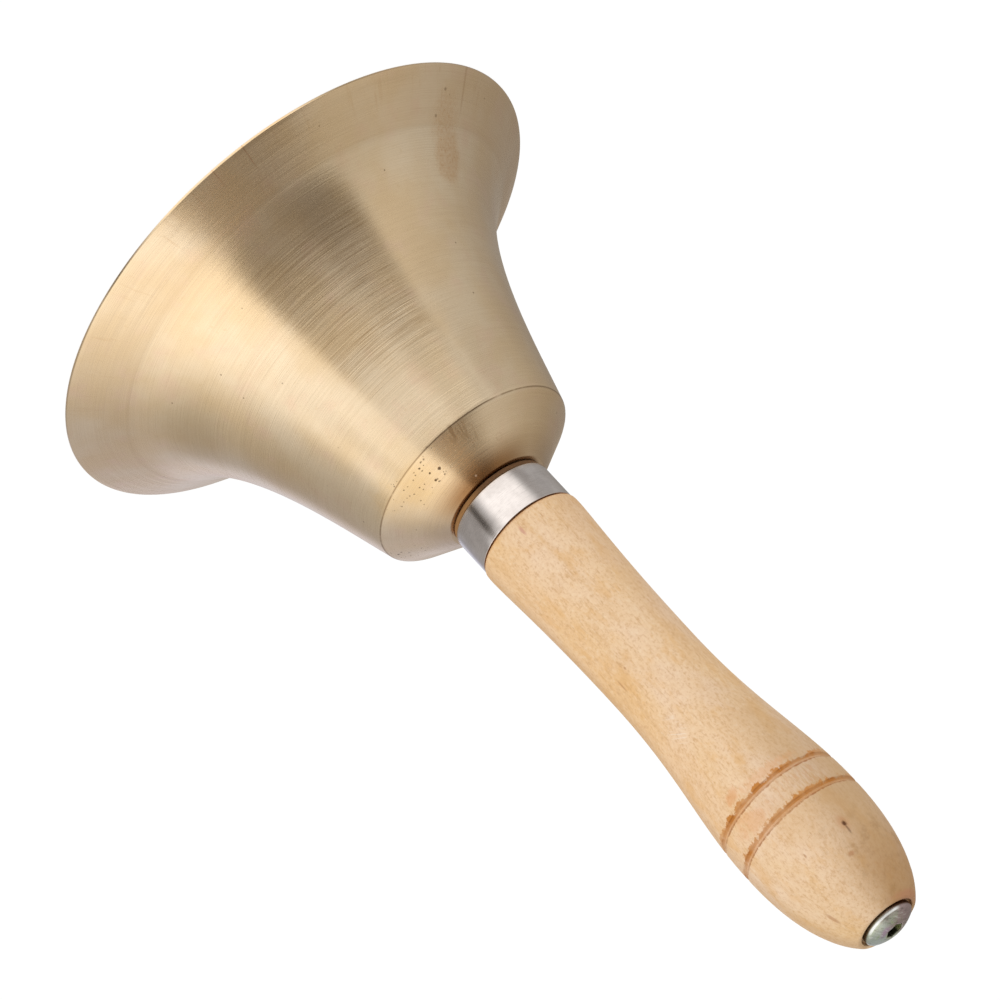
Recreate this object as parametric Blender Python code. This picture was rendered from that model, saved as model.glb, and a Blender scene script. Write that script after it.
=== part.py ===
"""Handbell: a turned brass bell on a wooden handle, held by one long eye bolt, with a hanging clapper.

The bell stands on its mouth.  The origin is the centre of the mouth plane and +Z runs up the
turning axis to the butt of the handle.  Lengths are metres.
"""

import math

import bmesh
import bpy
from mathutils import Matrix

MM = 0.001
GAP = 0.3 * MM                      # running clearance between neighbouring pieces

# bell shell
MOUTH_RADIUS = 65.0 * MM
LIP_LAND = 0.6 * MM                 # upright edge of the lip
FLARE_RADIUS = 53.7 * MM            # where the straight flare turns into the hollow curve
FLARE_HEIGHT = 8.5 * MM
SHOULDER_RADIUS = 26.4 * MM
SHOULDER_HEIGHT = 66.9 * MM
SEAT_RADIUS = 13.4 * MM
SEAT_HEIGHT = 75.7 * MM
WALL = 2.5 * MM
CEILING_HEIGHT = 73.3 * MM
CURVE_HANDLE_LOW = 11.4 * MM        # how far the flare's direction carries into the curve
CURVE_HANDLE_HIGH = 17.6 * MM       # how far the waist's direction carries into the curve
WAIST_SLOPE = 0.28                  # radius lost per unit of height, just under the shoulder

# eye bolt
BOLT_RADIUS = 2.4 * MM
BOLT_TOP = 205.0 * MM
BOLT_EYE_INNER = 3.5 * MM
BOLT_BEND = 3.5 * MM                # bend where the shank swings out into the eye
BORE_RADIUS = BOLT_RADIUS + GAP

# washers and nut under the crown
WASHER_RADIUS = 6.5 * MM
WASHER_THICKNESS = 1.2 * MM
LOCK_WASHER_RADIUS = 4.6 * MM
LOCK_WASHER_THICKNESS = 1.3 * MM
LOCK_WASHER_SPLIT = math.radians(16)
CROWN_NUT_FLATS = 8.0 * MM
CROWN_NUT_HEIGHT = 4.0 * MM
WASHER_EDGE = 0.15 * MM
NUT_FACE_SHARE = 0.94               # width of a nut's round end face, as a share of its flats
NUT_CHAMFER = math.radians(30)

# gasket and ferrule
GASKET_RADIUS = 12.4 * MM
GASKET_THICKNESS = 1.1 * MM
FERRULE_RADIUS = 12.85 * MM
FERRULE_LENGTH = 10.0 * MM
FERRULE_WALL = 1.0 * MM
FERRULE_EDGE = 0.25 * MM

# handle, heights measured up from the ferrule's top edge
COLLAR_RADIUS = 13.2 * MM
COLLAR_ROUND = 0.8 * MM
NECK_SWELL_AT = 5.0 * MM            # the collar swells a little before it tapers
NECK_SWELL_RADIUS = 13.5 * MM
NECK_REACH = 27.0 * MM              # curve handles of the waist, down, up, and of the belly
WAIST_AT = 44.8 * MM
WAIST_RADIUS = 11.85 * MM
WAIST_REACH = 23.5 * MM
BELLY_AT = 95.6 * MM
BELLY_RADIUS = 15.93 * MM
BELLY_REACH = 16.0 * MM
EGG_LENGTH = 33.2 * MM              # from the belly to where the egg would close
EGG_POWER = 2.3
HANDLE_LENGTH = 124.9 * MM
GROOVES_AT = (88.4 * MM, 96.3 * MM)
GROOVE_DEPTH = 0.45 * MM
GROOVE_WIDTH = 1.3 * MM

# cap nut
HEAD_RADIUS = 6.35 * MM
HEAD_PROUD = 1.4 * MM               # height of the head's rim above the wood
HEAD_DOME = 1.4 * MM
HEAD_EDGE = 0.25 * MM
RECESS_RADIUS = 7.0 * MM
RECESS_DEPTH = 1.1 * MM
BARREL_RADIUS = 3.5 * MM
BARREL_LENGTH = 14.5 * MM
SOCKET_FLATS = 4.0 * MM
SOCKET_DEPTH = 4.5 * MM

# clapper
LINK_WIRE = 1.0 * MM
LINK_HALF_WIDTH = 3.0 * MM
LINK_INNER_LENGTH = 10.0 * MM
CLAPPER_WIRE = 1.6 * MM
CLAPPER_EYE_INNER = 2.6 * MM
CLAPPER_BEND = 2.6 * MM
BALL_RADIUS = 9.5 * MM
BALL_HEIGHT = 14.0 * MM
BALL_HOLE_DEPTH = 15.0 * MM
BALL_HOLE_FLAT = 2.6 * MM           # small flat ground around the ball's hole
CLAPPER_NUT_FLATS = 5.5 * MM
CLAPPER_NUT_HEIGHT = 2.4 * MM
EYE_END = math.radians(48)          # the bent eyes stop this far short of their shanks

# heights that follow from the sizes above
WASHER_TOP = CEILING_HEIGHT - GAP
LOCK_WASHER_TOP = WASHER_TOP - WASHER_THICKNESS - GAP
CROWN_NUT_TOP = LOCK_WASHER_TOP - LOCK_WASHER_THICKNESS - GAP
BOLT_SHANK_END = CROWN_NUT_TOP - CROWN_NUT_HEIGHT - 2 * GAP
FERRULE_BASE = SEAT_HEIGHT + GASKET_THICKNESS + 2 * GAP
FERRULE_TOP = FERRULE_BASE + FERRULE_LENGTH
HANDLE_TOP = FERRULE_TOP + HANDLE_LENGTH
TENON_RADIUS = FERRULE_RADIUS - FERRULE_WALL - GAP


def eye_drop(ring, bend):
    """Distance from a shank's end to its eye's centre, for a bend tangent to both."""
    return math.sqrt(ring * ring + 2 * ring * bend)


BOLT_EYE = BOLT_EYE_INNER + BOLT_RADIUS
BOLT_EYE_HEIGHT = BOLT_SHANK_END - eye_drop(BOLT_EYE, BOLT_BEND)
LINK_PIVOT = BOLT_EYE_HEIGHT - BOLT_EYE_INNER + GAP + LINK_WIRE
CLAPPER_PIVOT = LINK_PIVOT - LINK_WIRE - LINK_INNER_LENGTH + GAP + CLAPPER_WIRE
CLAPPER_EYE = CLAPPER_EYE_INNER + CLAPPER_WIRE
BALL_TOP = BALL_HEIGHT + math.sqrt(BALL_RADIUS ** 2 - BALL_HOLE_FLAT ** 2)


def clear_scene():
    for item in list(bpy.data.objects):
        bpy.data.objects.remove(item, do_unlink=True)


def make_material(name, color, roughness, metallic):
    material = bpy.data.materials.new(name)
    material.use_nodes = True
    shader = material.node_tree.nodes["Principled BSDF"]
    shader.inputs["Base Color"].default_value = (*color, 1.0)
    shader.inputs["Roughness"].default_value = roughness
    shader.inputs["Metallic"].default_value = metallic
    return material


# outlines: lists of (radius, height)

def bezier(start, leave, arrive, end, steps):
    """Points after start on a cubic curve, end included."""
    points = []
    for i in range(1, steps + 1):
        t = i / steps
        weights = ((1 - t) ** 3, 3 * t * (1 - t) ** 2, 3 * t * t * (1 - t), t ** 3)
        corners = (start, leave, arrive, end)
        points.append(tuple(sum(w * c[k] for w, c in zip(weights, corners)) for k in (0, 1)))
    return points


def arc(center, radius, first, last, steps):
    """Points on an arc, both ends included.  Angles are radians from the outward direction."""
    angles = [first + (last - first) * i / steps for i in range(steps + 1)]
    return [(center[0] + radius * math.cos(a), center[1] + radius * math.sin(a)) for a in angles]


def inset_line(points, distance):
    """The open line moved to its left by a distance, with mitred corners."""
    normals = []
    for a, b in zip(points, points[1:]):
        length = math.dist(a, b)
        normals.append(((a[1] - b[1]) / length, (b[0] - a[0]) / length))
    moved = []
    for i, point in enumerate(points):
        before = normals[max(i - 1, 0)]
        after = normals[min(i, len(normals) - 1)]
        sideways = (before[0] + after[0], before[1] + after[1])
        scale = 2 * distance / (sideways[0] ** 2 + sideways[1] ** 2)
        moved.append((point[0] + sideways[0] * scale, point[1] + sideways[1] * scale))
    return moved


def at_height(a, b, height):
    """Where the straight line through two outline points crosses a height."""
    t = (height - a[1]) / (b[1] - a[1])
    return (a[0] + (b[0] - a[0]) * t, height)


# solids

def add_object(name, data, material, parent=None):
    """Link an object; its coordinates are those of its parent."""
    data.materials.append(material)
    item = bpy.data.objects.new(name, data)
    bpy.context.collection.objects.link(item)
    item.parent = parent
    return item


def finish_mesh(name, bm):
    """Turn a bmesh into a closed, outward-facing, smooth-shaded mesh."""
    bmesh.ops.remove_doubles(bm, verts=bm.verts, dist=1e-7)
    bmesh.ops.recalc_face_normals(bm, faces=bm.faces)
    mesh = bpy.data.meshes.new(name)
    bm.to_mesh(mesh)
    bm.free()
    mesh.shade_smooth()
    mesh.set_sharp_from_angle(angle=math.radians(35))
    return mesh


def lathe(name, outline, segments, turn=2 * math.pi):
    """Spin a closed outline about Z.  Less than a full turn is capped at both ends."""
    bm = bmesh.new()
    verts = [bm.verts.new((r, 0, z)) for r, z in outline]
    edges = [bm.edges.new(pair) for pair in zip(verts, verts[1:] + verts[:1])]
    full = turn == 2 * math.pi
    result = bmesh.ops.spin(
        bm, geom=verts + edges, cent=(0, 0, 0), axis=(0, 0, 1), angle=turn,
        steps=segments, use_merge=full)
    if not full:
        bm.faces.new(verts)
        bm.faces.new([v for v in result["geom_last"] if isinstance(v, bmesh.types.BMVert)])
    bmesh.ops.dissolve_degenerate(bm, dist=1e-7, edges=bm.edges)
    return finish_mesh(name, bm)


def wire(name, path, radius, side_steps, closed=False):
    """A round wire along a path of points."""
    curve = bpy.data.curves.new(name, "CURVE")
    curve.dimensions = "3D"
    curve.bevel_depth = radius
    curve.bevel_resolution = side_steps
    curve.use_fill_caps = True
    spline = curve.splines.new("POLY")
    spline.points.add(len(path) - 1)
    for point, place in zip(spline.points, path):
        point.co = (*place, 1.0)
    spline.use_cyclic_u = closed
    return curve


def hex_prism(name, flats, low, high):
    bm = bmesh.new()
    radius = flats / math.sqrt(3)
    bmesh.ops.create_cone(
        bm, cap_ends=True, segments=6, radius1=radius, radius2=radius, depth=high - low,
        matrix=Matrix.Translation((0, 0, (low + high) / 2)))
    return finish_mesh(name, bm)


def cut(target, name, mesh, operation="DIFFERENCE"):
    """Cut a target with a hidden mesh that shares the target's parent."""
    cutter = bpy.data.objects.new(name, mesh)
    bpy.context.collection.objects.link(cutter)
    cutter.parent = target.parent
    cutter.hide_render = True
    cutter.display_type = "WIRE"
    modifier = target.modifiers.new(name, "BOOLEAN")
    modifier.operation = operation
    modifier.solver = "EXACT"
    modifier.object = cutter


def hex_nut(name, flats, low, height, bore, material, parent=None):
    """A plain hexagon nut with chamfered corners."""
    high = low + height
    corner = flats / math.sqrt(3)
    face = flats * NUT_FACE_SHARE / 2
    drop = (corner - face) * math.tan(NUT_CHAMFER)
    nut = add_object(name, hex_prism(name, flats, low, high), material, parent)
    ring = [(bore, low), (face, low), (corner, low + drop), (corner, high - drop),
            (face, high), (bore, high)]
    reach = [(r + (GAP if r == corner else 0), z) for r, z in ring]
    cut(nut, name + "_chamfer", lathe(name + "_chamfer", reach, 24), "INTERSECT")
    return nut


def eye_path(shank_start, shank_end, ring, bend, down):
    """Shank on the axis, a bend outwards, and an open eye.  Points lie in the XZ plane.

    down is 1 where the eye hangs under the shank and -1 where it stands above it.
    """
    drop = eye_drop(ring, bend)
    start_angle = math.atan2(bend, drop)
    points = [(0, shank_start), (0, shank_end)]
    for x, z in arc((bend, 0), bend, math.pi, math.pi + math.pi / 2 - start_angle, 5)[1:]:
        points.append((x, shank_end + down * z))
    turn = 2 * math.pi - EYE_END - start_angle
    center = shank_end - down * drop
    steps = 26
    for i in range(1, steps + 1):
        a = start_angle + turn * i / steps
        points.append((ring * math.sin(a), center + down * ring * math.cos(a)))
    return [(x, 0, z) for x, z in points]


def bell_shell(material):
    flare_slope = (MOUTH_RADIUS - FLARE_RADIUS) / (FLARE_HEIGHT - LIP_LAND)
    curve_end = (SHOULDER_RADIUS, SHOULDER_HEIGHT)
    leave = (FLARE_RADIUS - flare_slope * CURVE_HANDLE_LOW, FLARE_HEIGHT + CURVE_HANDLE_LOW)
    arrive = (SHOULDER_RADIUS + WAIST_SLOPE * CURVE_HANDLE_HIGH, SHOULDER_HEIGHT - CURVE_HANDLE_HIGH)
    skin = [(MOUTH_RADIUS, LIP_LAND), (FLARE_RADIUS, FLARE_HEIGHT)]
    skin += bezier(skin[-1], leave, arrive, curve_end, 14)
    skin.append((SEAT_RADIUS, SEAT_HEIGHT))
    inside = inset_line(skin, WALL)
    inside[0] = at_height(inside[0], inside[1], 0)
    inside[-1] = at_height(inside[-2], inside[-1], CEILING_HEIGHT)
    outline = [(MOUTH_RADIUS, 0)] + skin
    outline += [(BORE_RADIUS, SEAT_HEIGHT), (BORE_RADIUS, CEILING_HEIGHT)] + inside[::-1]
    add_object("bell_shell", lathe("bell_shell", outline, 64), material)


def ring_part(name, inner, outer, low, high, edge, segments, material, turn=2 * math.pi):
    """A flat ring whose outer corners are broken by edge."""
    outline = [(inner, low), (outer - edge, low), (outer, low + edge), (outer, high - edge),
               (outer - edge, high), (inner, high)]
    return add_object(name, lathe(name, outline, segments, turn), material)


def handle_outline():
    """Outer outline of the handle above the ferrule, bottom to top, with its grooves."""
    def place(at, radius):
        return (radius, FERRULE_TOP + at)

    start = COLLAR_ROUND + GAP
    center = place(start, COLLAR_RADIUS - COLLAR_ROUND)
    points = arc(center, COLLAR_ROUND, -math.pi / 2, 0, 3)
    waist = place(WAIST_AT, WAIST_RADIUS)
    belly = place(BELLY_AT, BELLY_RADIUS)
    points += bezier(points[-1], place(NECK_SWELL_AT, NECK_SWELL_RADIUS),
                     place(WAIST_AT - NECK_REACH, WAIST_RADIUS), waist, 8)
    points += bezier(waist, place(WAIST_AT + WAIST_REACH, WAIST_RADIUS),
                     place(BELLY_AT - BELLY_REACH, BELLY_RADIUS), belly, 9)
    steps = 9
    for i in range(1, steps + 1):
        along = (HANDLE_LENGTH - BELLY_AT) * i / steps
        radius = BELLY_RADIUS * math.sqrt(1 - (along / EGG_LENGTH) ** EGG_POWER)
        points.append(place(BELLY_AT + along, radius))
    for at in GROOVES_AT:
        points = cut_groove(points, FERRULE_TOP + at)
    return points


def radius_at(points, height):
    for a, b in zip(points, points[1:]):
        if a[1] <= height <= b[1]:
            return at_height(a, b, height)[0]
    raise ValueError("height outside the outline")


def cut_groove(points, height):
    """Put a round-bottomed groove into an outline."""
    half = GROOVE_WIDTH / 2
    floor = radius_at(points, height) - GROOVE_DEPTH
    groove = [
        (radius_at(points, height - half), height - half),
        (floor, height - half / 3),
        (floor, height + half / 3),
        (radius_at(points, height + half), height + half),
    ]
    below = [p for p in points if p[1] < height - half]
    above = [p for p in points if p[1] > height + half]
    return below + groove + above


def handle(material):
    outer = handle_outline()
    barrel_base = HANDLE_TOP - RECESS_DEPTH - BARREL_LENGTH
    outline = [(TENON_RADIUS, FERRULE_BASE), (TENON_RADIUS, FERRULE_TOP + GAP)]
    outline += outer
    outline += [
        (RECESS_RADIUS, HANDLE_TOP),
        (RECESS_RADIUS, HANDLE_TOP - RECESS_DEPTH),
        (BARREL_RADIUS + GAP, HANDLE_TOP - RECESS_DEPTH),
        (BARREL_RADIUS + GAP, barrel_base),
        (BORE_RADIUS, barrel_base),
        (BORE_RADIUS, FERRULE_BASE),
    ]
    add_object("handle", lathe("handle", outline, 40), material)


def cap_nut(material):
    """Sleeve nut: a domed head, a threaded barrel in the handle and a hexagon socket."""
    floor = HANDLE_TOP - RECESS_DEPTH + GAP
    base = HANDLE_TOP - RECESS_DEPTH - BARREL_LENGTH + GAP
    rim = HANDLE_TOP + HEAD_PROUD
    top = rim + HEAD_DOME
    dome_radius = (HEAD_RADIUS ** 2 + HEAD_DOME ** 2) / (2 * HEAD_DOME)
    dome_angle = math.acos(HEAD_RADIUS / dome_radius)
    socket_reach = SOCKET_FLATS / 4
    last = math.acos(socket_reach / dome_radius)
    dome = arc((0, top - dome_radius), dome_radius, dome_angle, last, 7)
    outline = [(BORE_RADIUS, base), (BARREL_RADIUS, base), (BARREL_RADIUS, floor)]
    outline += [(HEAD_RADIUS - HEAD_EDGE, floor), (HEAD_RADIUS, floor + HEAD_EDGE)]
    outline += [(HEAD_RADIUS, rim - HEAD_EDGE)] + dome[1:]
    outline += [(socket_reach, top - SOCKET_DEPTH), (BORE_RADIUS, top - SOCKET_DEPTH)]
    nut = add_object("cap_nut", lathe("cap_nut", outline, 36), material)
    socket = hex_prism("socket_cut", SOCKET_FLATS, top - SOCKET_DEPTH - GAP, top + GAP)
    cut(nut, "socket_cut", socket)


def eye_bolt(material):
    path = eye_path(BOLT_TOP, BOLT_SHANK_END, BOLT_EYE, BOLT_BEND, 1)
    add_object("eye_bolt", wire("eye_bolt", path, BOLT_RADIUS, 4), material)


def clapper_link(material, pivot):
    """A closed oval link in the YZ plane, hanging from its top wire at the pivot."""
    turn_radius = LINK_HALF_WIDTH + LINK_WIRE
    straight = LINK_INNER_LENGTH - 2 * LINK_HALF_WIDTH
    path = arc((0, -turn_radius), turn_radius, 0, math.pi, 12)
    path += arc((0, -turn_radius - straight), turn_radius, math.pi, 2 * math.pi, 12)
    curve = wire("clapper_link", [(0, y, z) for y, z in path], LINK_WIRE, 3, closed=True)
    add_object("clapper_link", curve, material, pivot)


def clapper(steel, ball_metal, pivot):
    """The clapper's own rod, ball and locking nut, placed from the pivot at its eye's top."""
    eye = -CLAPPER_EYE
    shank = eye - eye_drop(CLAPPER_EYE, CLAPPER_BEND)
    ball = BALL_HEIGHT - CLAPPER_PIVOT
    ball_top = BALL_TOP - CLAPPER_PIVOT
    hole = CLAPPER_WIRE + GAP
    hole_floor = ball_top - BALL_HOLE_DEPTH
    path = eye_path(hole_floor + GAP, shank, CLAPPER_EYE, CLAPPER_BEND, -1)
    add_object("clapper_rod", wire("clapper_rod", path, CLAPPER_WIRE, 3), steel, pivot)
    flat_angle = math.acos(BALL_HOLE_FLAT / BALL_RADIUS)
    outline = arc((0, ball), BALL_RADIUS, -math.pi / 2, flat_angle, 14)
    outline += [(hole, ball_top), (hole, hole_floor), (0, hole_floor)]
    add_object("clapper_ball", lathe("clapper_ball", outline, 24), ball_metal, pivot)
    hex_nut("clapper_nut", CLAPPER_NUT_FLATS, ball_top + GAP, CLAPPER_NUT_HEIGHT, hole, steel, pivot)


def add_pivot(name, height, parent=None):
    """An empty on a joint axis, at a height above its parent."""
    pivot = bpy.data.objects.new(name, None)
    bpy.context.collection.objects.link(pivot)
    pivot.location = (0, 0, height)
    pivot.parent = parent
    return pivot


def main():
    clear_scene()
    brass = make_material("turned_brass", (0.72, 0.58, 0.36), 0.35, 1.0)
    wood = make_material("turned_hardwood", (0.83, 0.64, 0.40), 0.55, 0.0)
    polished = make_material("polished_steel", (0.66, 0.64, 0.63), 0.2, 1.0)
    zinc = make_material("zinc_plate", (0.56, 0.57, 0.50), 0.3, 1.0)
    leather = make_material("leather", (0.16, 0.08, 0.04), 0.8, 0.0)
    iron = make_material("clapper_steel", (0.45, 0.44, 0.43), 0.4, 1.0)

    bell_shell(brass)
    ring_part("crown_gasket", BORE_RADIUS, GASKET_RADIUS, SEAT_HEIGHT + GAP,
              SEAT_HEIGHT + GAP + GASKET_THICKNESS, WASHER_EDGE, 32, leather)
    ring_part("ferrule", FERRULE_RADIUS - FERRULE_WALL, FERRULE_RADIUS, FERRULE_BASE,
              FERRULE_TOP, FERRULE_EDGE, 48, polished)
    handle(wood)
    cap_nut(zinc)
    eye_bolt(zinc)
    ring_part("crown_washer", BORE_RADIUS, WASHER_RADIUS, WASHER_TOP - WASHER_THICKNESS,
              WASHER_TOP, WASHER_EDGE, 28, zinc)
    spring_ring = ring_part("lock_washer", BORE_RADIUS, LOCK_WASHER_RADIUS,
                            LOCK_WASHER_TOP - LOCK_WASHER_THICKNESS, LOCK_WASHER_TOP,
                            WASHER_EDGE, 24, zinc, 2 * math.pi - LOCK_WASHER_SPLIT)
    spring_ring.rotation_euler.z = LOCK_WASHER_SPLIT / 2
    hex_nut("crown_nut", CROWN_NUT_FLATS, CROWN_NUT_TOP - CROWN_NUT_HEIGHT, CROWN_NUT_HEIGHT,
            BORE_RADIUS, zinc)
    link_pivot = add_pivot("link_pivot", LINK_PIVOT)
    clapper_pivot = add_pivot("clapper_pivot", CLAPPER_PIVOT - LINK_PIVOT, link_pivot)
    clapper_link(zinc, link_pivot)
    clapper(iron, iron, clapper_pivot)


main()
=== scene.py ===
"""Studio scene of the handbell: detailed pieces, procedural finishes, camera, floor and light."""

import math

import bmesh
import bpy
from mathutils import Matrix, Vector, noise


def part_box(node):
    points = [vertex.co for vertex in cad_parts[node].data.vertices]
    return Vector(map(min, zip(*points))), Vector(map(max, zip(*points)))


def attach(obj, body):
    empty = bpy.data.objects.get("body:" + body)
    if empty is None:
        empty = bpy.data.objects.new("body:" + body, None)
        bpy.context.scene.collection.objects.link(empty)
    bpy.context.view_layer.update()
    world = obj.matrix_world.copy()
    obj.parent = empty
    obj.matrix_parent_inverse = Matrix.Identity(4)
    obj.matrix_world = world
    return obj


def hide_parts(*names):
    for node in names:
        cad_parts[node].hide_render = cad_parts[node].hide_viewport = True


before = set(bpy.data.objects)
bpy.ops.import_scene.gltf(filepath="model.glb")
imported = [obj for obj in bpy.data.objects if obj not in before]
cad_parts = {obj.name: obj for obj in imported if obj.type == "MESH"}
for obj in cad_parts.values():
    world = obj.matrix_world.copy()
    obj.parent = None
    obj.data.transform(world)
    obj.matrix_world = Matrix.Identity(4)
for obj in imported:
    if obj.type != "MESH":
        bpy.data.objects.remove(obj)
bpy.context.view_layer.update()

MM = 0.001
GAP = 0.3 * MM
SHARP_ANGLE = math.radians(32)

# bell shell, as packed
MOUTH_RADIUS = 65.0 * MM
LIP_LAND = 0.6 * MM
FLARE_RADIUS = 53.7 * MM
FLARE_HEIGHT = 8.5 * MM
SHOULDER_RADIUS = 26.4 * MM
SHOULDER_HEIGHT = 66.9 * MM
SEAT_RADIUS = 13.4 * MM
SEAT_HEIGHT = 75.7 * MM
WALL = 2.5 * MM
CEILING_HEIGHT = 73.3 * MM
CURVE_HANDLE_LOW = 11.4 * MM
CURVE_HANDLE_HIGH = 17.6 * MM
WAIST_SLOPE = 0.28

# handle, heights measured up from the ferrule's top edge
COLLAR_RADIUS = 13.2 * MM
COLLAR_ROUND = 0.8 * MM
NECK_SWELL_AT = 5.0 * MM
NECK_SWELL_RADIUS = 13.5 * MM
NECK_REACH = 27.0 * MM
WAIST_AT = 44.8 * MM
WAIST_RADIUS = 11.85 * MM
WAIST_REACH = 23.5 * MM
BELLY_AT = 95.6 * MM
BELLY_RADIUS = 15.93 * MM
BELLY_REACH = 16.0 * MM
EGG_LENGTH = 33.2 * MM
EGG_POWER = 2.3
GROOVES_AT = (88.4 * MM, 96.3 * MM)
GROOVE_DEPTH = 0.45 * MM
GROOVE_WIDTH = 1.3 * MM

# fittings
FERRULE_WALL = 1.0 * MM
BOLT_RADIUS = 2.4 * MM
BOLT_TOP = 205.0 * MM
BOLT_EYE = 5.9 * MM
BOLT_BEND = 3.5 * MM
BOLT_PITCH = 0.8 * MM
CROWN_NUT_FLATS = 8.0 * MM
HEAD_RADIUS = 6.35 * MM
HEAD_PROUD = 1.4 * MM
HEAD_DOME = 1.4 * MM
RECESS_RADIUS = 7.0 * MM
RECESS_DEPTH = 1.1 * MM
BARREL_RADIUS = 3.5 * MM
BARREL_LENGTH = 14.5 * MM
SOCKET_FLATS = 4.0 * MM
SOCKET_DEPTH = 4.5 * MM
LINK_WIRE = 1.0 * MM
LINK_HALF_WIDTH = 3.0 * MM
LINK_INNER_LENGTH = 10.0 * MM
CLAPPER_WIRE = 1.6 * MM
CLAPPER_EYE = 4.2 * MM
CLAPPER_BEND = 2.6 * MM
CLAPPER_PITCH = 0.5 * MM
CLAPPER_NUT_FLATS = 5.5 * MM
BALL_RADIUS = 9.5 * MM
BALL_HOLE_DEPTH = 15.0 * MM
BALL_HOLE_FLAT = 2.6 * MM
EYE_END = math.radians(48)

# camera
VIEW_ELEVATION = math.radians(25.32)
VIEW_ROLL = math.radians(137.28)
VIEW_DISTANCE = 1.3436
VIEW_LENS = 216.0
AIM_HEIGHT = 85.6 * MM
AIM_RIGHT = 5.5 * MM
AIM_DOWN = 6.66 * MM


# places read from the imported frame

def low(node):
    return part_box(node)[0]


def high(node):
    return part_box(node)[1]


FERRULE_BASE = low("ferrule")[2]
FERRULE_TOP = high("ferrule")[2]
HANDLE_TOP = high("handle")[2]
GROOVE_HEIGHTS = [(FERRULE_TOP + at) / MM for at in GROOVES_AT]


# outlines: lists of (radius, height)

def bezier(start, leave, arrive, end, steps):
    """Points after start on a cubic curve, end included."""
    points = []
    for i in range(1, steps + 1):
        t = i / steps
        weights = ((1 - t) ** 3, 3 * t * (1 - t) ** 2, 3 * t * t * (1 - t), t ** 3)
        corners = (start, leave, arrive, end)
        points.append(tuple(sum(w * c[k] for w, c in zip(weights, corners)) for k in (0, 1)))
    return points


def arc(center, radius, first, last, steps):
    """Points on an arc, both ends included."""
    angles = [first + (last - first) * i / steps for i in range(steps + 1)]
    return [(center[0] + radius * math.cos(a), center[1] + radius * math.sin(a)) for a in angles]


def straight(start, end, steps):
    """Points after start on a line, end included."""
    return [tuple(a + (b - a) * i / steps for a, b in zip(start, end)) for i in range(1, steps + 1)]


def inset_line(points, distance):
    """The open line moved to its left by a distance, with mitred corners."""
    normals = []
    for a, b in zip(points, points[1:]):
        length = math.dist(a, b)
        normals.append(((a[1] - b[1]) / length, (b[0] - a[0]) / length))
    moved = []
    for i, point in enumerate(points):
        before = normals[max(i - 1, 0)]
        after = normals[min(i, len(normals) - 1)]
        sideways = (before[0] + after[0], before[1] + after[1])
        scale = 2 * distance / (sideways[0] ** 2 + sideways[1] ** 2)
        moved.append((point[0] + sideways[0] * scale, point[1] + sideways[1] * scale))
    return moved


def at_height(a, b, height):
    t = (height - a[1]) / (b[1] - a[1])
    return (a[0] + (b[0] - a[0]) * t, height)


def round_corner(before, corner, after, radius, steps=3):
    """Replace a corner by a curve that starts and ends a radius away from it."""
    start = Vector(corner) + (Vector(before) - Vector(corner)).normalized() * radius
    end = Vector(corner) + (Vector(after) - Vector(corner)).normalized() * radius
    points = [tuple(start)]
    for i in range(1, steps):
        t = i / steps
        points.append(tuple(start * (1 - t) ** 2 + Vector(corner) * (2 * t * (1 - t)) + end * t * t))
    return points + [tuple(end)]


# meshes

def add_piece(name, verts, faces, materials, face_slots=None):
    mesh = bpy.data.meshes.new(name)
    mesh.from_pydata(verts, [], faces)
    bm = bmesh.new()
    bm.from_mesh(mesh)
    bmesh.ops.recalc_face_normals(bm, faces=bm.faces)
    bm.to_mesh(mesh)
    bm.free()
    for material in materials:
        mesh.materials.append(material)
    if face_slots:
        mesh.polygons.foreach_set("material_index", face_slots)
    mesh.shade_smooth()
    mesh.set_sharp_from_angle(angle=SHARP_ANGLE)
    piece = bpy.data.objects.new(name, mesh)
    bpy.context.collection.objects.link(piece)
    return piece


def lathe(name, outline, segments, materials, slots=None, shape=None, turn=2 * math.pi):
    """Turn a closed outline about Z.  slots gives each outline side's material; shape may move points."""
    full = turn == 2 * math.pi
    columns = segments if full else segments + 1
    verts = []
    for i in range(columns):
        a = turn * i / segments + (0 if full else (2 * math.pi - turn) / 2)
        for r, z in outline:
            if shape:
                r, z = shape(r, z, a)
            verts.append((r * math.cos(a), r * math.sin(a), z))
    count = len(outline)
    faces = []
    face_slots = []
    for i in range(segments):
        here = i * count
        there = (i + 1) % columns * count
        for k in range(count):
            after = (k + 1) % count
            corners = [here + k, there + k, there + after, here + after]
            if outline[k][0] < 1e-9 and outline[after][0] < 1e-9:
                continue
            if outline[k][0] < 1e-9:
                corners = [here + k, there + after, here + after]
            elif outline[after][0] < 1e-9:
                corners = [here + k, there + k, here + after]
            faces.append(corners)
            face_slots.append(slots[k] if slots else 0)
    if not full:
        faces.append(list(range(count)))
        faces.append([segments * count + k for k in range(count)])
        face_slots += [0, 0]
    piece = add_piece(name, verts, faces, materials, face_slots)
    if full and any(r < 1e-9 for r, z in outline):
        weld(piece)
    return piece


def around_z(name, lines, materials):
    """Skin a closed line of (radius, height) that changes from one turn step to the next."""
    segments = len(lines)
    count = len(lines[0])
    verts = []
    faces = []
    for i, line in enumerate(lines):
        a = 2 * math.pi * i / segments
        verts += [(r * math.cos(a), r * math.sin(a), z) for r, z in line]
        here = i * count
        there = (i + 1) % segments * count
        for k in range(count):
            after = (k + 1) % count
            faces.append([here + k, there + k, there + after, here + after])
    return add_piece(name, verts, faces, materials)


def weld(piece):
    bm = bmesh.new()
    bm.from_mesh(piece.data)
    bmesh.ops.remove_doubles(bm, verts=bm.verts, dist=1e-7)
    bm.to_mesh(piece.data)
    bm.free()


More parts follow.
